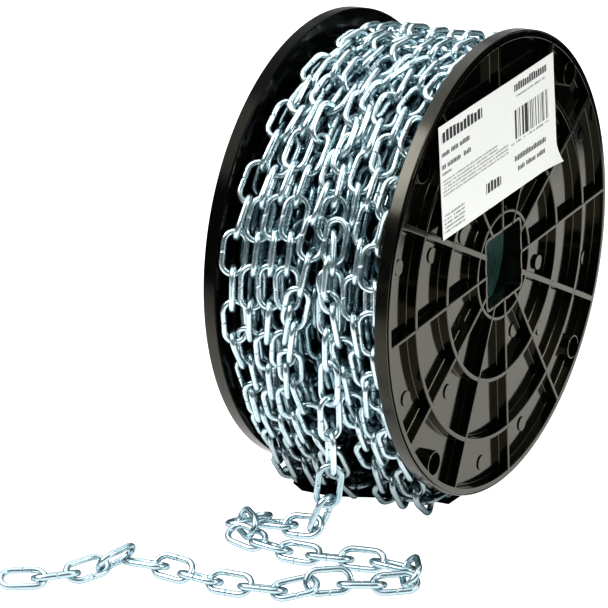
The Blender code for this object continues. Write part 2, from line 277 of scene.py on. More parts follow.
def collar_holes():
    bm = bmesh.new()
    for place in collar_places():
        plug(bm, place, [(COLLAR_HOLE, WEB + 0.0001), (COLLAR_HOLE, FLANGE_DEPTH + OVERLAP)], 48)
    return bmesh_object("collar_holes", bm)


def crossing_notches():
    """Fine rings cut into the ribs' tops just inside and outside each ring."""
    points, faces = [], []
    for radius, width, _ in RINGS[1:]:
        for side in (-1, 1):
            middle = radius + side * (width / 2 + NOTCH_WIDTH)
            low, high = middle - NOTCH_WIDTH / 2, middle + NOTCH_WIDTH / 2
            section = [(low, FLANGE_DEPTH - NOTCH_DEPTH), (low, FLANGE_DEPTH + OVERLAP),
                       (high, FLANGE_DEPTH + OVERLAP), (high, FLANGE_DEPTH - NOTCH_DEPTH)]
            ring_points, ring_faces = lathe(section, FLANGE_STEPS)
            faces += (ring_faces + len(points)).tolist()
            points += ring_points.tolist()
    return face_out(new_object("crossing_notches", points, faces))


def combine(obj, other, operation):
    """Joins other to obj, or cuts it out, and removes it."""
    modifier = obj.modifiers.new(operation.lower(), "BOOLEAN")
    modifier.operation = operation
    modifier.solver = "MANIFOLD"
    modifier.object = other
    graph = bpy.context.evaluated_depsgraph_get()
    mesh = bpy.data.meshes.new_from_object(obj.evaluated_get(graph))
    obj.modifiers.clear()
    obj.data = mesh
    bpy.data.objects.remove(other, do_unlink=True)


def moulded_flange():
    points, faces = lathe(flange_section(), FLANGE_STEPS)
    flange = face_out(new_object("flange_near", points, faces))
    combine(flange, rib_bars(), "UNION")
    wall_side = BORE_SIDE + 2 * BORE_WALL
    wall = square_block("wall", wall_side, WALL_CORNER, WEB / 2, FLANGE_DEPTH - WALL_LOWER, WALL_WAVE)
    combine(flange, wall, "UNION")
    combine(flange, collars_and_pins(), "UNION")
    combine(flange, collar_holes(), "DIFFERENCE")
    combine(flange, crossing_notches(), "DIFFERENCE")
    bore = square_block("bore", BORE_SIDE, BORE_CORNER, -OVERLAP, FLANGE_DEPTH + OVERLAP, BORE_WAVE)
    combine(flange, bore, "DIFFERENCE")
    return flange


def new_material(name, colour, roughness, metallic=0.0):
    """A Principled material and its shader."""
    material = bpy.data.materials.new(name)
    material.use_nodes = True
    shader = material.node_tree.nodes["Principled BSDF"]
    shader.inputs["Base Color"].default_value = (*colour, 1)
    shader.inputs["Roughness"].default_value = roughness
    shader.inputs["Metallic"].default_value = metallic
    return material, shader


def add_node(material, kind, inputs=(), **values):
    """A shader node with its settings as values and its inputs as (name or number, value or socket)."""
    tree = material.node_tree
    node = tree.nodes.new(kind)
    for key, value in values.items():
        setattr(node, key, value)
    for name, value in inputs:
        if isinstance(value, bpy.types.NodeSocket):
            tree.links.new(value, node.inputs[name])
        else:
            node.inputs[name].default_value = value
    return node


def math_node(material, operation, *values):
    return add_node(material, "ShaderNodeMath", list(enumerate(values)), operation=operation).outputs[0]


def object_place(material):
    """The object's own coordinates as three outputs."""
    coordinates = add_node(material, "ShaderNodeTexCoord")
    return add_node(material, "ShaderNodeSeparateXYZ", [(0, coordinates.outputs["Object"])]).outputs


def object_noise(material, scale, detail):
    """A noise value in the object's own coordinates, scale in cells a metre."""
    coordinates = add_node(material, "ShaderNodeTexCoord")
    noise = add_node(material, "ShaderNodeTexNoise",
                     [("Vector", coordinates.outputs["Object"]), ("Scale", scale), ("Detail", detail)])
    return noise.outputs[0]


def map_range(material, value, low, high, to_low, to_high):
    node = add_node(material, "ShaderNodeMapRange", [
        ("Value", value), ("From Min", low), ("From Max", high), ("To Min", to_low), ("To Max", to_high)])
    return node.outputs[0]


def colour_mix(material, factor, first, second):
    node = add_node(material, "ShaderNodeMix", [(0, factor), (6, first), (7, second)], data_type="RGBA")
    return node.outputs[2]


def add_bump(material, shader, height, strength, distance):
    node = add_node(material, "ShaderNodeBump",
                    [("Height", height), ("Strength", strength), ("Distance", distance)])
    material.node_tree.links.new(node.outputs[0], shader.inputs["Normal"])


BLACK = (0.0045, 0.0043, 0.0038)
BLACK_CLOUDS = ((0.0016, 0.0015, 0.0013, 1), (0.0032, 0.0030, 0.0026, 1))
FACE_SHEEN = (1.0, 0.945, 0.70)
RIM_SHEEN = (1.0, 0.97, 0.82)
PLASTIC_IOR = 1.60


def black_plastic(name, shine, dullness, sheen):
    """Glossy black plastic with faint flow marks and a fine moulded texture."""
    material, shader = new_material(name, BLACK, dullness)
    shader.inputs["IOR"].default_value = PLASTIC_IOR
    shader.inputs["Specular IOR Level"].default_value = shine
    shader.inputs["Specular Tint"].default_value = (*sheen, 1)
    link = material.node_tree.links.new
    cloud = object_noise(material, 90, 3)
    fine = object_noise(material, 1600, 2)
    link(map_range(material, cloud, 0.3, 0.7, 0.75 * dullness, 1.25 * dullness), shader.inputs["Roughness"])
    link(colour_mix(material, cloud, *BLACK_CLOUDS), shader.inputs["Base Color"])
    both = math_node(material, "MULTIPLY_ADD", fine, 0.2, cloud)
    add_bump(material, shader, both, 0.05, 0.0002)
    return material


# Painted shade: the far flange's faces shine less than the near one's, and its rim loses its shine above the
# axle.
FAR_RIM_SHINE = 0.40
FAR_RIM_SHADED_SHINE = 0.03
SHINE_FADE = 0.02
# Faces that look outwards no further in than this are the rim's.
RIM_SKIN = 0.0008

plastic = black_plastic("black_plastic", 0.60, 0.10, FACE_SHEEN)
rim_plastic = black_plastic("black_plastic_rim", 0.33, 0.22, RIM_SHEEN)
shaded_plastic = black_plastic("black_plastic_far", 0.10, 0.16, RIM_SHEEN)
far_rim_plastic = black_plastic("black_plastic_far_rim", FAR_RIM_SHINE, 0.22, RIM_SHEEN)
# Painted shade: the far rim's shine fades out above the axle.
far_rim_plastic.node_tree.links.new(
    map_range(far_rim_plastic, object_place(far_rim_plastic)[2], AXLE.z - SHINE_FADE, AXLE.z + SHINE_FADE,
              FAR_RIM_SHINE, FAR_RIM_SHADED_SHINE),
    far_rim_plastic.node_tree.nodes["Principled BSDF"].inputs["Specular IOR Level"])
near_flange = moulded_flange()
near_flange.data.shade_smooth()
near_flange.data.set_sharp_from_angle(angle=SHARP_ANGLE)
near_flange.data.materials.clear()
near_flange.data.materials.append(plastic)
near_flange.data.materials.append(rim_plastic)
for face in near_flange.data.polygons:
    if face.center.xy.length > FLANGE_RADIUS - RIM_SKIN and abs(face.normal.z) < 0.5:
        face.material_index = 1
# Turned bodies are made about local Z, and this lays them along the reel's axis.
OUTWARD = Matrix(((0, 0, 1), (1, 0, 0), (0, 1, 0))).to_4x4()
far_flange = bpy.data.objects.new("flange_far", near_flange.data.copy())
far_flange.data.materials[0] = shaded_plastic
far_flange.data.materials[1] = far_rim_plastic
bpy.context.scene.collection.objects.link(far_flange)
turned_round = Matrix.Rotation(2 * REEL_TURN, 4, "X") @ Matrix.Rotation(math.pi, 4, "Y")
for flange, inner_x, turned, node in (
    (near_flange, near_low.x, Matrix.Identity(4), "flange_right"),
    (far_flange, far_high.x, turned_round, "flange_left"),
):
    place = Matrix.Translation((inner_x, AXLE.y, AXLE.z)) @ turned @ OUTWARD
    flange.data.transform(place)
    flat_shading = flange.modifiers.new("flat_shading", "WEIGHTED_NORMAL")
    flat_shading.keep_sharp = True
    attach(flange, "root")
    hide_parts(node)

# Core tube. A plastic tube between the flanges, seen only through the bore: a smooth dark socket at each end
# and fine rings round the wall between them. The wall between the sockets is painted pale teal: painted
# light, as if lit through the far bore.

TUBE_INSIDE = 0.0300
TUBE_OUTSIDE = 0.0320
SOCKET_LENGTH = 0.0100
SOCKET_STEP = 0.0008
# Where the dark of the sockets starts, from the reel's middle, and half the width of its edge.
SOCKET_FROM = 0.0284
SOCKET_EDGE = 0.0002
RING_PITCH = 0.0013
RING_DEPTH = 0.00025
TUBE_STEPS = 96
# Painted light: the pale teal and its dimmer tone colour the ringed wall as if lit through the far bore.
TUBE_LIT_TEAL = (0.55, 0.80, 0.74, 1)
TUBE_LIT_TEAL_DIM = (0.34, 0.54, 0.50, 1)
TUBE_BLACK = (0.003, 0.003, 0.003, 1)


def tube_section():
    """The tube's closed section, as (radius, place along the axle from the reel's middle)."""
    low, high = (corner.x - AXLE.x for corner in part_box("core_tube"))
    inner = TUBE_INSIDE + SOCKET_STEP
    section = [(TUBE_OUTSIDE, low), (TUBE_INSIDE, low), (TUBE_INSIDE, low + SOCKET_LENGTH)]
    ring_count = int((high - low - 2 * SOCKET_LENGTH) / RING_PITCH)
    pitch = (high - low - 2 * SOCKET_LENGTH) / ring_count
    for i in range(ring_count):
        start = low + SOCKET_LENGTH + i * pitch
        section += [(inner, start), (inner, start + pitch * 0.4),
                    (inner - RING_DEPTH, start + pitch * 0.6), (inner - RING_DEPTH, start + pitch * 0.9)]
    return section + [(TUBE_INSIDE, high - SOCKET_LENGTH), (TUBE_INSIDE, high), (TUBE_OUTSIDE, high)]


points, faces = lathe(tube_section(), TUBE_STEPS)
core_tube = face_out(new_object("core_tube_inside", points, faces))
core_tube.data.shade_smooth()
core_tube.data.set_sharp_from_angle(angle=SHARP_ANGLE)
core_tube.data.transform(Matrix.Translation(AXLE) @ OUTWARD)
tube_plastic, tube_shader = new_material("tube_plastic", TUBE_LIT_TEAL[:3], 0.34)
from_middle = math_node(tube_plastic, "SUBTRACT", object_place(tube_plastic)[0], AXLE.x)
reach = math_node(tube_plastic, "ABSOLUTE", from_middle)
# Painted light on the ringed wall between the dark sockets.
painted_light = colour_mix(tube_plastic, object_noise(tube_plastic, 60, 2), TUBE_LIT_TEAL_DIM, TUBE_LIT_TEAL)
socket = map_range(tube_plastic, reach, SOCKET_FROM - SOCKET_EDGE, SOCKET_FROM + SOCKET_EDGE, 0.0, 1.0)
tube_plastic.node_tree.links.new(colour_mix(tube_plastic, socket, painted_light, TUBE_BLACK),
                                 tube_shader.inputs["Base Color"])
add_bump(tube_plastic, tube_shader, object_noise(tube_plastic, 700, 2), 0.2, 0.0002)
core_tube.data.materials.append(tube_plastic)
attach(core_tube, "root")
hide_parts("core_tube")

# Label. A sheet of coated white paper stuck across the tops of the ribs, with its lower right corner lifting.
# It is printed in black with plain strokes and bars.

# Its corners in mm from the axle: the two upper ones, then the two lower ones.
LABEL_CORNERS = ((-62.5, 75.0), (40.5, 85.6), (-56.6, 25.7), (47.5, 34.6))
LABEL_COLUMNS = 84
LABEL_ROWS = 42
PAPER = 0.00016
RIPPLE = 0.00006
# The corner lifts from these parts of the sheet's height and width on. CURL_REST is the rest of the width.
CURL_FROM = 0.80
CURL_ACROSS = 0.85
CURL_REST = 0.15
CURL_HEIGHT = 0.0020
CURL_OUT = 0.0026


def label_point(u, v):
    """The sheet's point at u across and v down, as (lift off the ribs, back from the axle, up from it)."""
    top_left, top_right, bottom_left, bottom_right = (Vector(corner) / 1000 for corner in LABEL_CORNERS)
    place = top_left.lerp(top_right, u).lerp(bottom_left.lerp(bottom_right, u), v)
    reach = max(0.0, v - CURL_FROM) / (1 - CURL_FROM) * max(0.0, (u - CURL_ACROSS) / CURL_REST)
    lift = CURL_HEIGHT * reach**2
    ripple = RIPPLE * math.sin(9 * u + 2) * math.sin(5 * v + 1)
    return Vector((lift + ripple, place.x + CURL_OUT * reach**1.5, place.y))


def make_label():
    """The sheet as a closed body, its UV map running from its lower left corner to its upper right one."""
    inner_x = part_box("label")[0].x
    bm = bmesh.new()
    uv_layer = bm.loops.layers.uv.new("label")
    grid = {}
    for side, out in ((0, inner_x), (1, inner_x + PAPER)):
        for i in range(LABEL_COLUMNS + 1):
            for j in range(LABEL_ROWS + 1):
                point = label_point(i / LABEL_COLUMNS, j / LABEL_ROWS)
                grid[side, i, j] = bm.verts.new((out + point.x, AXLE.y + point.y, AXLE.z + point.z))
    faces = []
    for i in range(LABEL_COLUMNS):
        for j in range(LABEL_ROWS):
            faces.append([(1, i, j), (1, i, j + 1), (1, i + 1, j + 1), (1, i + 1, j)])
            faces.append([(0, i, j), (0, i + 1, j), (0, i + 1, j + 1), (0, i, j + 1)])
    last = LABEL_COLUMNS
    for j in range(LABEL_ROWS):
        faces.append([(0, 0, j), (0, 0, j + 1), (1, 0, j + 1), (1, 0, j)])
        faces.append([(0, last, j + 1), (0, last, j), (1, last, j), (1, last, j + 1)])
    last = LABEL_ROWS
    for i in range(LABEL_COLUMNS):
        faces.append([(0, i + 1, 0), (0, i, 0), (1, i, 0), (1, i + 1, 0)])
        faces.append([(0, i, last), (0, i + 1, last), (1, i + 1, last), (1, i, last)])
    for keys in faces:
        made = bm.faces.new([grid[key] for key in keys])
        for loop, (_, i, j) in zip(made.loops, keys):
            loop[uv_layer].uv = (i / LABEL_COLUMNS, 1 - j / LABEL_ROWS)
    return bmesh_object("paper_label", bm)


# Printed blocks as (left, right, top, bottom) in parts of the label's width and height from its top left
# corner, the number of lines in each, the part of a line that is printed, and how black the ink looks.
PRINTED = (
    (0.640, 0.935, 0.052, 0.125, 1, 1.0, 1.0),
    (0.656, 0.915, 0.160, 0.180, 1, 0.90, 0.75),
    (0.020, 0.362, 0.050, 0.158, 1, 1.0, 1.0),
    (0.017, 0.253, 0.232, 0.276, 1, 0.9, 1.0),
    (0.016, 0.267, 0.339, 0.384, 1, 0.9, 1.0),
    (0.016, 0.092, 0.414, 0.436, 1, 1.0, 0.9),
    (0.020, 0.480, 0.480, 0.625, 5, 0.86, 0.70),
    (0.480, 0.570, 0.540, 0.625, 3, 0.86, 0.70),
    (0.017, 0.185, 0.785, 0.950, 5, 0.84, 0.80),
    (0.368, 0.498, 0.755, 0.855, 1, 1.0, 1.0),
    (0.625, 0.922, 0.690, 0.742, 1, 0.92, 1.0),
    (0.648, 0.895, 0.793, 0.838, 1, 0.90, 1.0),
    (0.600, 0.940, 0.562, 0.582, 1, 0.60, 0.85),
)
# The block of bars, its grid's lines across the label's width, and the part of them that is black.
BARS = (0.626, 0.935, 0.285, 0.545)
BAR_GRID = 250.0
BAR_SHARE = 0.48
# The label's width in heights, a line's strokes and gap as parts of its pitch, a stroke's pitch and width as
# parts of its height and of that pitch, and how uneven the strokes' tops are.
LABEL_SHAPE = 103 / 51
STROKE_HEIGHT = 0.6
LINE_GAP = 0.4
STROKE_PITCH = 0.55
STROKE_WIDTH = 0.74
RAGGED = 0.16
PAPER_WHITES = ((0.88, 0.885, 0.845, 1), (0.93, 0.935, 0.895, 1))
INK_BLACK = (0.012, 0.012, 0.014, 1)


def inside(material, value, low, high):
    """1 where a value lies between low and high, else 0."""
    above = math_node(material, "GREATER_THAN", value, low)
    below = math_node(material, "LESS_THAN", value, high)
    return math_node(material, "MULTIPLY", above, below)


def printed_paper():
    """White coated paper printed with blocks of upright strokes and a block of bars."""
    material, shader = new_material("printed_paper", (0.87, 0.87, 0.86), 0.42)
    uv = add_node(material, "ShaderNodeUVMap", uv_map="label")
    split = add_node(material, "ShaderNodeSeparateXYZ", [(0, uv.outputs[0])])
    across = split.outputs[0]
    down = math_node(material, "SUBTRACT", 1.0, split.outputs[1])
    ink = None
    for left, right, top, bottom, lines, cover, black in PRINTED:
        pitch = (bottom - top) / (lines - LINE_GAP)
        row = math_node(material, "DIVIDE", math_node(material, "SUBTRACT", down, top), pitch)
        height = math_node(material, "FRACT", row)
        place = math_node(material, "DIVIDE", across, STROKE_HEIGHT * pitch * STROKE_PITCH / LABEL_SHAPE)
        cell = math_node(material, "FLOOR", place)
        seed = add_node(material, "ShaderNodeCombineXYZ",
                        [(0, cell), (1, math_node(material, "FLOOR", row)), (2, left + top)])
        chance = add_node(material, "ShaderNodeTexWhiteNoise", [("Vector", seed.outputs[0])])
        tint = add_node(material, "ShaderNodeSeparateColor", [(0, chance.outputs[1])])
        printed = math_node(material, "LESS_THAN", chance.outputs[0], cover)
        start = math_node(material, "MULTIPLY", tint.outputs[1], RAGGED)
        stroke = math_node(material, "MULTIPLY", math_node(material, "GREATER_THAN", height, start),
                           math_node(material, "LESS_THAN", height, STROKE_HEIGHT))
        black_part = math_node(material, "LESS_THAN", math_node(material, "FRACT", place), STROKE_WIDTH)
        block = math_node(material, "MULTIPLY", inside(material, across, left, right),
                          inside(material, down, top, bottom))
        mark = math_node(material, "MULTIPLY", math_node(material, "MULTIPLY", block, stroke),
                         math_node(material, "MULTIPLY", printed, black_part))
        mark = math_node(material, "MULTIPLY", mark, black)
        ink = mark if ink is None else math_node(material, "MAXIMUM", ink, mark)
    left, right, top, bottom = BARS
    cell = math_node(material, "FLOOR", math_node(material, "MULTIPLY", across, BAR_GRID))
    chance = add_node(material, "ShaderNodeTexWhiteNoise", [("W", cell)], noise_dimensions="1D").outputs[0]
    bars = math_node(material, "MULTIPLY", math_node(material, "LESS_THAN", chance, BAR_SHARE),
                     math_node(material, "MULTIPLY", inside(material, across, left, right),
                               inside(material, down, top, bottom)))
    ink = math_node(material, "MAXIMUM", ink, bars)
    grain = object_noise(material, 2500, 2)
    paper = colour_mix(material, grain, *PAPER_WHITES)
    material.node_tree.links.new(colour_mix(material, ink, paper, INK_BLACK), shader.inputs["Base Color"])
    add_bump(material, shader, grain, 0.08, 0.0001)
    return material


label = make_label()
label.data.shade_smooth()
label.data.set_sharp_from_angle(angle=SHARP_ANGLE)
label.data.materials.append(printed_paper())
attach(label, "root")
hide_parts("label")

# Loose end. Links bent from round zinc plated wire, each with its butt joint at the middle of one side. They
# hook into each other, leave the pack at the front, hang, and lie on the floor.

LINK_LENGTH = 0.0208
LINK_WIDTH = 0.0121
WIRE = 0.0027
# The butt joint as (place along the wire from its middle, the wire's girth there as a part of the whole).
# Steps of the plain wire nearer the middle than JOINT_REACH make way for it.
JOINT = (
    (-0.0006, 1), (-0.00016, 1), (-0.00009, 0.80), (0.0, 0.74), (0.00009, 0.80), (0.00016, 1), (0.0006, 1),
)
JOINT_REACH = 0.0008
# The zinc's colour, its dull spots and its tint at a slant. Below FOOT_HEIGHT it may darken towards the floor
# as painted shade, and loose links lower than FLOOR_LINKS lie on the floor and take a darker copy of the
# zinc, also painted shade.
ZINC_BRIGHT = (0.64, 0.76, 0.79)
ZINC_DULL = (0.32, 0.40, 0.42)
ZINC_EDGE = (0.01, 0.09, 0.12)
FOOT_HEIGHT = 0.045
FLOOR_LINKS = 0.03


def link_line(straight_steps, arc_steps):
    """The wire's centre line as (places, directions, girths), with close steps at the butt joint."""
    half_straight = (LINK_LENGTH - LINK_WIDTH) / 2
    bend = (LINK_WIDTH - WIRE) / 2
    places, ways, girths = [], [], []
    for side in (1, -1):
        stops = np.linspace(-half_straight, half_straight, straight_steps + 1)[:-1]
        if side > 0 and straight_steps > 3:
            stops = stops[np.abs(stops) > JOINT_REACH]
            pairs = sorted([(stop, 1) for stop in stops] + list(JOINT))
        else:
            pairs = [(stop, 1) for stop in stops]
        for stop, girth in pairs:
            places.append((stop * side, -bend * side, 0))
            ways.append((side, 0, 0))
            girths.append(girth)
        for i in range(arc_steps):
            sine, cosine = math.sin(math.pi * i / arc_steps), math.cos(math.pi * i / arc_steps)
            places.append((side * (half_straight + bend * sine), -side * bend * cosine, 0))
            ways.append((side * cosine, side * sine, 0))
            girths.append(1)
    return np.array(places), np.array(ways), np.array(girths)


def link_mesh(straight_steps, arc_steps, sides):
    """One link lying flat, long way on X, as (points, faces)."""
    places, ways, girths = link_line(straight_steps, arc_steps)
    across = np.stack([ways[:, 1], -ways[:, 0], np.zeros(len(ways))], axis=1)
    angles = (np.arange(sides) + 0.5) * math.tau / sides
    radius = (WIRE / 2 * girths)[:, None, None]
    rings = places[:, None] + radius * (np.cos(angles)[None, :, None] * across[:, None]
                                        + np.sin(angles)[None, :, None] * np.array([0, 0, 1.0]))
    count = len(places)
    step, spot = np.meshgrid(np.arange(count), np.arange(sides), indexing="ij")
    step_next, spot_next = (step + 1) % count, (spot + 1) % sides
    faces = np.stack([step * sides + spot, step_next * sides + spot,
                      step_next * sides + spot_next, step * sides + spot_next], axis=2)
    return rings.reshape(-1, 3), faces.reshape(-1, 4)


def node_pose(name):
    """Centre and axes of a packed link: its long way, its width and its flat side's normal, as columns."""
    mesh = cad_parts[name].data
    points = np.empty(len(mesh.vertices) * 3)
    mesh.vertices.foreach_get("co", points)
    points = points.reshape(-1, 3)
    centre = points.mean(0)
    axes = np.linalg.svd(points - centre, full_matrices=False)[2]
    if np.linalg.det(axes) < 0:
        axes[2] = -axes[2]
    return centre, axes.T


def joined_links(name, poses, shape):
    """One mesh of like links at poses, each (centre, axes as columns)."""
    points, faces = shape
    centres = np.array([centre for centre, _ in poses])
    axes = np.array([turn for _, turn in poses])
    placed = centres[:, None] + np.einsum("nij,mj->nmi", axes, points)
    shift = (np.arange(len(poses)) * len(points))[:, None, None]
    obj = new_object(name, placed.reshape(-1, 3), (faces[None] + shift).reshape(-1, 4))
    obj.data.shade_smooth()
    return obj


def zinc_plate(name, bright, dull, edge, foot=1.0):
    """Bright bluish zinc on steel, a little milky, darker at a slant and, by foot, darkened down at the floor
    as painted shade.
    """
    material, shader = new_material(name, bright, 0.22, 0.97)
    shader.inputs["Specular Tint"].default_value = (*edge, 1)
    link = material.node_tree.links.new
    cloud = object_noise(material, 260, 3)
    speckle = object_noise(material, 1100, 2)
    link(map_range(material, cloud, 0.3, 0.7, 0.23, 0.32), shader.inputs["Roughness"])
    tint = colour_mix(material, cloud, (*bright, 1), (*[min(1, 1.12 * value) for value in bright], 1))
    spots = map_range(material, speckle, 0.64, 0.80, 0.0, 0.3)
    plate = colour_mix(material, spots, tint, (*dull, 1))
    # Painted shade: the colour darkens towards the floor below FOOT_HEIGHT.
    unshaded = map_range(material, object_place(material)[2], 0.0, FOOT_HEIGHT, foot, 1.0)
    link(colour_mix(material, unshaded, (0, 0, 0, 1), plate), shader.inputs["Base Color"])
    add_bump(material, shader, cloud, 0.03, 0.0003)
    return material


zinc = zinc_plate("zinc_plate", ZINC_BRIGHT, ZINC_DULL, ZINC_EDGE)
# Painted shade: a darker copy of the zinc for the links that lie on the floor.
shaded_floor_zinc = zinc_plate("shaded_floor_zinc", (0.46, 0.58, 0.62), (0.24, 0.32, 0.34), (0.0, 0.04, 0.06))
loose_names = sorted(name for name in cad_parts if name.startswith("link_"))
loose_poses = [node_pose(name) for name in loose_names]
loose_shape = link_mesh(6, 14, 14)
for name, (centre, axes) in zip(loose_names, loose_poses):
    link = joined_links("loose_" + name, [(centre, axes)], loose_shape)
    link.data.materials.append(zinc if centre[2] > FLOOR_LINKS else shaded_floor_zinc)
    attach(link, "root")
    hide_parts(name)

# Wound chain. Nine turns side by side in each of three layers, their links open or on edge by turns. In front
# the outer ones hang slack down to the floor, ride up on their neighbours and turn their links' flat sides
# towards the near flange's side. Under the third layer a dark ring stands for the rest.

CLEARANCE = 0.0003
PACK_HALF_WIDTH = (near_low.x - far_high.x) / 2 - CLEARANCE
KNOT_ANGLES = (-180, -110, -75, -40, -20, 0, 20, 40, 60, 80, 105, 140, 180)
# Each turn's open link at the front, in degrees above the axle, and its place along the reel in mm at the
# knot angles, from the back under the reel to the front and over the top.
OUTER_TURNS = (
    (11.0, (-32, -32, -32, -32, -33, -32.3, -31.5, -28, -26, -25, -29, -32, -32)),
    (2.7, (-25, -25, -27, -30.5, -29.5, -24.2, -24, -22.5, -22, -22, -24, -25, -25)),
    (3.3, (-17, -17, -18, -21, -19.5, -15.3, -16.5, -16, -16, -17, -17, -17, -17)),
    (4.0, (-8.5, -9, -11, -14, -13, -8.5, -10, -8, -9, -10, -9.5, -9, -8.5)),
    (-0.5, (0, 0, -1, -7, -9, -1.5, 3.1, 3.5, 2, 0, 0, 0, 0)),
    (-1.0, (8.5, 8.5, 8.5, 8, 8, 12, 15.0, 16.5, 14, 9, 8.5, 8.5, 8.5)),
    (6.0, (17, 17, 17.5, 18, 18, 17, 8, 7.5, 8, 15.5, 17, 17, 17)),
    (4.7, (25.5, 26, 26, 26, 28, 25.5, 24.5, 25.5, 24.5, 25, 26, 25.5, 25.5)),
    (-4.0, (34, 34, 34, 34, 35, 34, 34, 34.5, 33.5, 33.5, 34, 34, 34)),
)
# How far the slack outer turns hang out of round in mm, down to the floor in front.
SAG_ANGLES = (-180, -160, -140, -120, -105, -90, -80, -70, -63, -57, -50, -40, -30, -15, 180)
SAGS = (0, 1, 4, 8, 8, 7.2, 9, 13.2, 17, 13, 7.5, 5, 3, 0.5, 0)
NO_SAGS = (0,) * len(SAGS)
# How far each outer turn rides up on its neighbours at the front, in mm, and where round the reel it does.
LIFTS = (5.8, 3.0, 2.8, 0.5, 3.0, 0, 1.5, 0.5, 2.5)
LIFT_ANGLES = (-180, -24, -10, 13, 32, 180)
LIFT_SHARES = (0, 0, 1, 1, 0, 0)
# How far the links are turned about their long way round the reel, in degrees: the mean, and how much one
# turn differs from the next. In front their flat sides face the near flange's side.
TWIST_ANGLES = (-180, -80, -60, 25, 50, 80, 120, 180)
TWISTS = (0, 0, -25, -25, -12, 0, 0, 0)
TWIST_SPREADS = (8, 8, 6, 6, 24, 26, 12, 8)
# How much one link's lean in degrees and height in metres differ from the next one's, and half the length of
# path that a link's direction is taken from.
LINK_LEAN = 8
LINK_HEIGHT = 0.0004
HALF_CHORD = 0.004
OUTER_RADIUS = 0.0912
SECOND_RADIUS = 0.0828
THIRD_RADIUS = 0.0752
DARK_RADIUS = 0.0700
# The inner turns' places along the reel in mm, and how far they are squeezed together.
FIRST_TURN = -34
TURN_PITCH = 8.5
SQUEEZE = 0.985
# The turn that the loose end leaves, and the angles between which it has no links of its own.
LOOSE_TURN = 5
LOOSE_ANGLES = (-62, 23)
# Turns that lie slack, with so many links more than they need.
SLACK_TURNS = (1, 3, 6, 8)
SPARE_LINKS = 2
# How links are pushed apart. Near pairs are looked for again every few rounds and worked on in batches, until
# the wires' middles are WIRE_GAP wires apart. A round makes PUSH_SHARE of its moves and turns, a push acting
# at GYRATION from a link's centre does half of each, and PULL_HOME draws links back in the earlier rounds.
PUSH_ROUNDS = 70
SEARCH_EVERY = 8
BATCH = 2000
WIRE_GAP = 1.01
PUSH_SHARE = 0.6
GYRATION = 0.0120
PULL_HOME = 0.03
PULL_FADE = 1.4


def turn_path(places, sags, lift, radius):
    """One turn's closed path as points every two degrees, from the back, under the reel and over the top."""
    degrees = np.arange(-180, 182, 2.0)
    angles = np.radians(degrees)
    across = np.interp(degrees, KNOT_ANGLES, places) / 1000
    out = radius + np.interp(degrees, SAG_ANGLES, sags) / 1000
    out += lift * np.interp(degrees, LIFT_ANGLES, LIFT_SHARES) / 1000
    points = np.stack([AXLE.x + across, AXLE.y - out * np.cos(angles), AXLE.z + out * np.sin(angles)], axis=1)
    lengths = np.append(0, np.cumsum(np.linalg.norm(np.diff(points, axis=0), axis=1)))
    return degrees, points, lengths


def path_point(points, lengths, reach):
    reach = reach % lengths[-1]
    return np.array([np.interp(reach, lengths, points[:, k]) for k in range(3)])


def wound_turn(phase, places, sags, lift, radius, spare, generator):
    """One turn of chain as lists of centres, axes and angles, from its open link at the phase angle on."""
    degrees, points, lengths = turn_path(places, sags, lift, radius)
    count = 2 * math.ceil(lengths[-1] / (2 * (LINK_LENGTH - 2 * WIRE))) + spare
    first = np.interp(phase, degrees, lengths)
    centres, turns, angles = [], [], []
    twists = generator.normal(TWISTS, TWIST_SPREADS)
    for i in range(count):
        reach = first + lengths[-1] * i / count
        place = path_point(points, lengths, reach)
        long_way = path_point(points, lengths, reach + HALF_CHORD)
        long_way -= path_point(points, lengths, reach - HALF_CHORD)
        long_way /= np.linalg.norm(long_way)
        out = np.array([0, place[1] - AXLE.y, place[2] - AXLE.z])
        side = np.cross(long_way, out)
        side /= np.linalg.norm(side)
        out = np.cross(side, long_way)
        angle = math.degrees(math.atan2(place[2] - AXLE.z, AXLE.y - place[1]))
        twist = np.interp(angle, TWIST_ANGLES, twists)
        roll = math.radians((90 if i % 2 else 0) + twist + generator.normal(0, LINK_LEAN))
        width = side * math.cos(roll) + out * math.sin(roll)
        centres.append(place + out * generator.normal(0, LINK_HEIGHT))
        turns.append(np.stack([long_way, width, np.cross(long_way, width)], axis=1))
        angles.append(angle)
    return centres, turns, angles


def wire_points(centres, turns, line):
    """The points of each link's centre line, as (link, point, coordinate)."""
    return centres[:, None] + np.einsum("nij,mj->nmi", turns, line)


def turned_by(turns, spins):
    """Turns axes by small rotation vectors."""
    angle = np.linalg.norm(spins, axis=1)
    axis = spins / np.maximum(angle, 1e-12)[:, None]
    k = np.zeros((len(spins), 3, 3))
    k[:, 0, 1], k[:, 0, 2], k[:, 1, 2] = -axis[:, 2], axis[:, 1], -axis[:, 0]
    k -= k.transpose(0, 2, 1)
    sine, cosine = np.sin(angle)[:, None, None], (1 - np.cos(angle))[:, None, None]
    return (np.eye(3) + sine * k + cosine * (k @ k)) @ turns


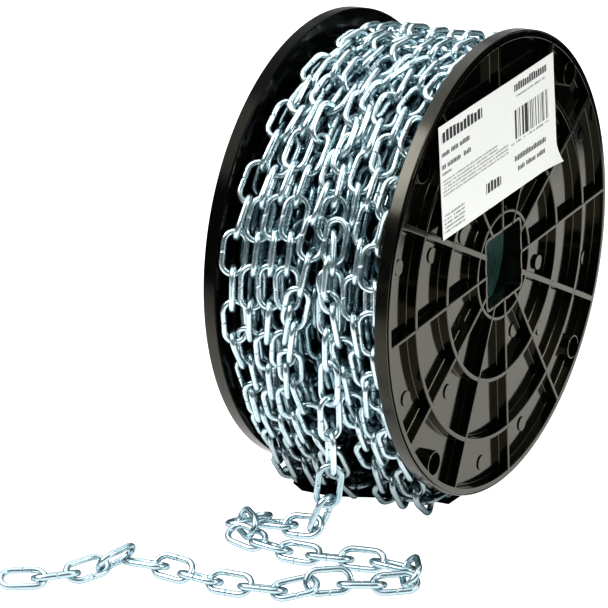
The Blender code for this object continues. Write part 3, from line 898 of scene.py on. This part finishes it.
def push_apart(centres, turns, held):
    """Moves and turns links a little at a time until their wires no longer run through each other."""
    line = link_line(3, 8)[0]
    home = centres.copy()
    gap = WIRE * WIRE_GAP
    free = (~held).astype(float)
    for round_no in range(PUSH_ROUNDS):
        if round_no % SEARCH_EVERY == 0:
            spread = np.linalg.norm(centres[:, None] - centres[None], axis=2)
            first, second = np.nonzero(np.triu(spread < LINK_LENGTH + WIRE, 1))
            keep = ~(held[first] & held[second])
            first, second = first[keep], second[keep]
        points = wire_points(centres, turns, line)
        move, spin = np.zeros_like(centres), np.zeros_like(centres)
        for start in range(0, len(first), BATCH):
            i, j = first[start:start + BATCH], second[start:start + BATCH]
            away = points[j][:, None] - points[i][:, :, None]
            distance = np.linalg.norm(away, axis=3).reshape(len(i), -1)
            best = distance.argmin(1)
            near = distance[np.arange(len(i)), best]
            hit = near < gap
            i, j, best, near, away = i[hit], j[hit], best[hit], near[hit], away[hit]
            a, b = best // len(line), best % len(line)
            direction = away[np.arange(len(i)), a, b] / np.maximum(near, 1e-7)[:, None]
            lack = (gap - near)[:, None]
            for which, spot, sign in ((i, a, -1), (j, b, 1)):
                arm = points[which, spot] - centres[which]
                torque = np.cross(arm, direction)
                ease = 1 + (np.linalg.norm(torque, axis=1) / GYRATION) ** 2
                push = sign * 0.5 * lack / ease[:, None]
                np.add.at(move, which, push * direction)
                np.add.at(spin, which, push * torque / GYRATION**2)
        share = free[:, None] * PUSH_SHARE
        centres = centres + move * share
        turns = turned_by(turns, spin * share)
        pull = PULL_HOME * max(0.0, 1 - PULL_FADE * round_no / PUSH_ROUNDS)
        centres += (home - centres) * pull * free[:, None]
        # Links that reach into a flange or the floor go back.
        points = wire_points(centres, turns, line)
        over = np.maximum(np.abs(points[:, :, 0] - AXLE.x).max(1) - (PACK_HALF_WIDTH - WIRE / 2), 0)
        centres[:, 0] -= over * np.sign(centres[:, 0] - AXLE.x) * free
        centres[:, 2] += np.maximum(WIRE / 2 - points[:, :, 2].min(1), 0) * free
    return centres, turns


generator = np.random.default_rng(7)
wound_links = []
for layer, radius in enumerate((OUTER_RADIUS, SECOND_RADIUS, THIRD_RADIUS)):
    for turn_no, (phase, places) in enumerate(OUTER_TURNS):
        sags = SAGS if layer == 0 and turn_no != LOOSE_TURN else NO_SAGS
        if layer:
            places = [(FIRST_TURN + TURN_PITCH * turn_no) * SQUEEZE] * len(KNOT_ANGLES)
            phase = generator.uniform(-180, 180)
        lift = 0 if layer else LIFTS[turn_no]
        spare = SPARE_LINKS if turn_no in SLACK_TURNS else 0
        centres, turns, angles = wound_turn(phase, places, sags, lift, radius, spare, generator)
        for centre, turn, angle in zip(centres, turns, angles):
            if layer == 0 and turn_no == LOOSE_TURN and LOOSE_ANGLES[0] < angle < LOOSE_ANGLES[1]:
                continue
            wound_links.append((layer, turn_no, centre, turn))
centres = np.array([centre for _, _, centre, _ in wound_links] + [pose[0] for pose in loose_poses])
turns = np.array([turn for _, _, _, turn in wound_links] + [pose[1] for pose in loose_poses])
held = np.arange(len(centres)) >= len(wound_links)
centres, turns = push_apart(centres, turns, held)

# Painted shade: the second and third layers are darker copies of the zinc, and each layer darkens down at the
# floor.
zincs = (zinc_plate("wound_zinc", ZINC_BRIGHT, ZINC_DULL, ZINC_EDGE, 0.25),
         zinc_plate("shaded_inner_zinc", (0.35, 0.47, 0.51), (0.15, 0.21, 0.23), ZINC_EDGE, 0.12),
         zinc_plate("shaded_deep_zinc", (0.15, 0.22, 0.25), (0.04, 0.07, 0.08), (0.01, 0.05, 0.06), 0.1))
shapes = (link_mesh(4, 10, 12), link_mesh(3, 8, 10), link_mesh(2, 6, 8))
for layer, layer_name in enumerate(("outer", "second", "third")):
    for turn_no in range(len(OUTER_TURNS)):
        poses = [(centres[i], turns[i]) for i, row in enumerate(wound_links) if row[:2] == (layer, turn_no)]
        turn_object = joined_links(f"{layer_name}_turn_{turn_no + 1}", poses, shapes[layer])
        turn_object.data.materials.append(zincs[layer])
        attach(turn_object, "root")
        if layer == 0:
            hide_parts("wound_chain_layer")
        else:
            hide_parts("wound_chain_core")

# The ring under the third layer, with low ridges round it. Its steel is painted near black, painted shade for
# the turns deep in the pack.
RIDGE_PAIRS = 18
RIDGE_HEIGHT = 0.0012
SHADED_STEELS = ((0.004, 0.007, 0.008, 1), (0.02, 0.032, 0.036, 1))
section = [(TUBE_OUTSIDE + CLEARANCE, -PACK_HALF_WIDTH), (DARK_RADIUS, -PACK_HALF_WIDTH)]
for i in range(2 * RIDGE_PAIRS):
    middle = -PACK_HALF_WIDTH + (i + 0.5) * PACK_HALF_WIDTH / RIDGE_PAIRS
    section.append((DARK_RADIUS + RIDGE_HEIGHT * (i % 2), middle))
section += [(DARK_RADIUS, PACK_HALF_WIDTH), (TUBE_OUTSIDE + CLEARANCE, PACK_HALF_WIDTH)]
points, faces = lathe(section, TUBE_STEPS)
hidden_turns = face_out(new_object("hidden_turns", points, faces))
hidden_turns.data.transform(Matrix.Translation(AXLE) @ OUTWARD)
hidden_turns.data.shade_smooth()
dark_steel, dark_shader = new_material("shaded_steel", (0.05, 0.07, 0.08), 0.45, 0.8)
dark_steel.node_tree.links.new(
    colour_mix(dark_steel, object_noise(dark_steel, 300, 3), *SHADED_STEELS), dark_shader.inputs["Base Color"])
add_bump(dark_steel, dark_shader, object_noise(dark_steel, 400, 3), 0.6, 0.001)
hidden_turns.data.materials.append(dark_steel)
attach(hidden_turns, "root")
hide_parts("wound_chain_core")

# Studio. A pale glowing floor that runs far behind the reel, soft lights overhead, in front, behind and at
# the label's side, a dim surround and dark cloths, so that bright metal has something dark to mirror, and one
# dark cloth under the pack as a painted shadow.

FLOOR_SIZE = 14.0
FLOOR_GREYS = ((0.21, 0.21, 0.21, 1), (0.23, 0.23, 0.23, 1))
# The floor lies this much below height 0, where the chain rests, and the cloths this much above it.
LAY_APART = 0.0001
floor_corners = [(x * FLOOR_SIZE, y * FLOOR_SIZE, 0) for x, y in ((-1, -1), (1, -1), (1, 1), (-1, 1))]
floor = new_object("studio_floor", floor_corners, [(0, 1, 2, 3)])
floor.location.z = -LAY_APART
floor_paint, floor_shader = new_material("floor_paint", (0.22, 0.22, 0.22), 0.6)
floor_shader.inputs["Emission Color"].default_value = (1, 1, 1, 1)
floor_shader.inputs["Emission Strength"].default_value = 1.0
floor_paint.node_tree.links.new(
    colour_mix(floor_paint, object_noise(floor_paint, 3, 2), *FLOOR_GREYS), floor_shader.inputs["Base Color"])
floor.data.materials.append(floor_paint)

# A sheet of dark cloth on the floor under the pack is a painted shadow. Two more, out of the picture, stand
# for a dark room beyond the table, mirrored in the upper cells of the flange and the front of the chain. All
# are outlined in mm from the reel's foot.
CLOTHS = (
    ("shadow_cloth_under_pack", ((-36, 10), (-38.5, -33), (-33.5, -47.5), (-25.5, -53), (-12, -52), (-3, -48),
                          (8, -42), (17, -39.5), (27, -34), (37, -33), (37, 10))),
    ("cloth_behind", ((250, 100), (1800, 100), (1800, 2400), (250, 2400))),
    ("cloth_in_front", ((-3000, -3000), (3000, -3000), (3000, -440), (-3000, -440))),
)
dark_cloth, cloth_shader = new_material("dark_cloth", (0.003, 0.004, 0.004), 0.9)
cloth_shader.inputs["Specular IOR Level"].default_value = 0.0
for name, outline in CLOTHS:
    corners = [(AXLE.x + x / 1000, AXLE.y + y / 1000, LAY_APART) for x, y in outline]
    cloth = new_object(name, corners, [list(range(len(corners)))])
    cloth.data.materials.append(dark_cloth)


def area_light(name, place, target, size, power):
    """A white light that faces the target, its size in metres and its power in watts."""
    data = bpy.data.lights.new(name, "AREA")
    data.shape = "RECTANGLE"
    data.size, data.size_y = size
    data.energy = power
    light = bpy.data.objects.new(name, data)
    light.location = place
    light.rotation_euler = (Vector(target) - Vector(place)).to_track_quat("-Z", "Y").to_euler()
    bpy.context.scene.collection.objects.link(light)


area_light("overhead", (-1.3, 0.1, 2.2), (-1.3, 0.1, 0), (4.2, 6.2), 97)
area_light("key", (-1.0, -0.9, 1.6), (0, 0, 0.1), (1.1, 1.1), 31)
area_light("backdrop", (-1.6, 2.6, 0.9), (0, 0, 0.1), (3.0, 1.2), 6)
area_light("label_side", (2.0, 0.3, 1.2), (0, 0, 0.1), (0.8, 0.8), 17)

# The surround is dim low down and paler overhead.
SURROUND_LOW = (0.050, 0.072, 0.078, 1)
SURROUND_HIGH = (0.50, 0.53, 0.55, 1)
world = bpy.data.worlds.new("surround")
bpy.context.scene.world = world
world.use_nodes = True
tree = world.node_tree
background = tree.nodes["Background"]
coordinates = tree.nodes.new("ShaderNodeTexCoord")
split = tree.nodes.new("ShaderNodeSeparateXYZ")
ramp = tree.nodes.new("ShaderNodeValToRGB")
ramp.color_ramp.elements[0].position = 0.50
ramp.color_ramp.elements[0].color = SURROUND_LOW
ramp.color_ramp.elements[1].position = 0.78
ramp.color_ramp.elements[1].color = SURROUND_HIGH
tree.links.new(coordinates.outputs["Generated"], split.inputs[0])
tree.links.new(split.outputs[2], ramp.inputs[0])
tree.links.new(ramp.outputs[0], background.inputs["Color"])
background.inputs["Strength"].default_value = 0.8

bpy.context.scene.view_settings.view_transform = "Standard"
bpy.context.scene.view_settings.look = "Medium High Contrast"

# Camera, where the photograph's stood: to the right of the front and above, with a long lens.

CAMERA_PLACE = Vector((AXLE.x + 0.5545, AXLE.y - 1.0007, 0.4600))
CAMERA_AIM = Vector((-0.4941, 0.8089, -0.3185))
LENS = 161.57
SENSOR = 36.0

camera_data = bpy.data.cameras.new("camera")
camera_data.sensor_width = SENSOR
camera_data.lens = LENS
camera = bpy.data.objects.new("camera", camera_data)
camera.location = CAMERA_PLACE
camera.rotation_euler = CAMERA_AIM.to_track_quat("-Z", "Y").to_euler()
bpy.context.scene.collection.objects.link(camera)
bpy.context.scene.camera = camera
